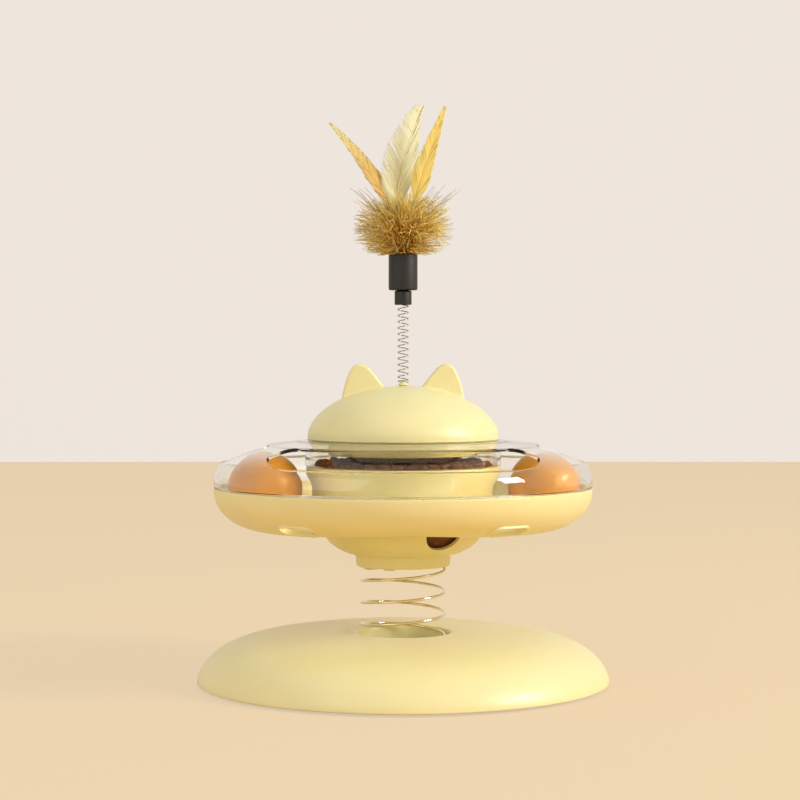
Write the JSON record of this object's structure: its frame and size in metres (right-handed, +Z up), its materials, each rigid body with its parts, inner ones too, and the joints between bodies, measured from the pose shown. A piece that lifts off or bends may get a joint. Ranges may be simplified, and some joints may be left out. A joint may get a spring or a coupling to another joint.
{
  "type": "cat teaser toy",
  "caption": "Cat teaser toy: treat saucer with a ball track and clear cover on a wire spring over a weighted base, with a feather teaser on the lid.",
  "frame": {"origin": "on the floor, under the middle of the round base", "axes": "+Z up through the spring and the teaser, -Y to the front, where the middle paw window is"},
  "size_m": [0.215, 0.215, 0.3023],
  "materials": {
    "yellow_plastic": "satin",
    "clear_plastic": "gloss",
    "orange_plastic": "satin",
    "black_plastic": "satin",
    "black_rubber": "matte",
    "foot_rubber": "matte",
    "spring_steel": "polished",
    "ballast_iron": "matte",
    "kibble": "matte",
    "tinsel": "satin",
    "gold_feather": "satin",
    "pale_feather": "satin"
  },
  "bodies": {
    "base": {"base_shell": "yellow_plastic", "base_plate": "yellow_plastic", "base_ballast": "ballast_iron", "rubber_foot_1": "foot_rubber", "rubber_foot_2": "foot_rubber", "rubber_foot_3": "foot_rubber", "rubber_foot_4": "foot_rubber", "plate_screw_1": "spring_steel", "plate_screw_2": "spring_steel", "plate_screw_3": "spring_steel", "plate_screw_4": "spring_steel", "lower_spring_seat": "yellow_plastic", "lower_seat_screw_1": "spring_steel", "lower_seat_screw_2": "spring_steel", "lower_seat_screw_3": "spring_steel"},
    "spring_foot": {"spring_end_cap": "black_rubber"},
    "spring": {"big_spring": "spring_steel"},
    "saucer": {"saucer_tray": "yellow_plastic", "treat_bowl": "yellow_plastic", "treats": "kibble", "clear_cover": "clear_plastic", "upper_spring_seat": "yellow_plastic", "upper_seat_screw_1": "spring_steel", "upper_seat_screw_2": "spring_steel", "upper_seat_screw_3": "spring_steel"},
    "lid": {"lid_dome": "yellow_plastic", "lid_plug_ring": "yellow_plastic", "teaser_plug": "yellow_plastic", "teaser_plug_washer": "spring_steel"},
    "teaser_stem": {"teaser_spring": "spring_steel"},
    "teaser_head": {"tuft_ferrule": "black_plastic", "tuft_cup": "black_plastic", "tuft": "tinsel", "feather_left": "gold_feather", "feather_middle": "pale_feather", "feather_right": "gold_feather"},
    "right_ball": {"ball_right": "orange_plastic"},
    "left_ball": {"ball_left": "orange_plastic"}
  },
  "joints": [
    {"name": "sway_x", "type": "hinge", "parent": "base", "child": "spring_foot", "pos_m": [0, 0, 0.023], "axis": [1, 0, 0], "range_deg": [-12, 12], "stiffness_Nm_per_rad": 2.2},
    {"name": "sway_y", "type": "hinge", "parent": "spring_foot", "child": "spring", "pos_m": [0, 0, 0.036], "axis": [0, 1, 0], "range_deg": [-12, 12], "stiffness_Nm_per_rad": 2.2},
    {"name": "bounce", "type": "slide", "parent": "spring", "child": "saucer", "axis": [0, 0, -1], "range_m": [0, 0.008], "stiffness_N_per_m": 900, "springref_m": -0.006, "deforming": ["big_spring"]},
    {"name": "ball_right_roll", "type": "hinge", "parent": "saucer", "child": "right_ball", "pos_m": [0, 0, 0.1026], "axis": [0, 0, 1], "range_deg": [-126, 160]},
    {"name": "ball_left_roll", "type": "hinge", "parent": "saucer", "child": "left_ball", "pos_m": [0, 0, 0.1026], "axis": [0, 0, 1], "range_deg": [-160, 126]},
    {"name": "lid_lift", "type": "slide", "parent": "saucer", "child": "lid", "axis": [0, 0, 1], "range_m": [0, 0.045]},
    {"name": "teaser_sway_x", "type": "hinge", "parent": "lid", "child": "teaser_stem", "pos_m": [0, 0, 0.168], "axis": [1, 0, 0], "range_deg": [-25, 25], "stiffness_Nm_per_rad": 0.08},
    {"name": "teaser_sway_y", "type": "hinge", "parent": "teaser_stem", "child": "teaser_head", "pos_m": [0, 0, 0.188], "axis": [0, 1, 0], "range_deg": [-25, 25], "stiffness_Nm_per_rad": 0.08, "deforming": ["teaser_spring"]}
  ]
}
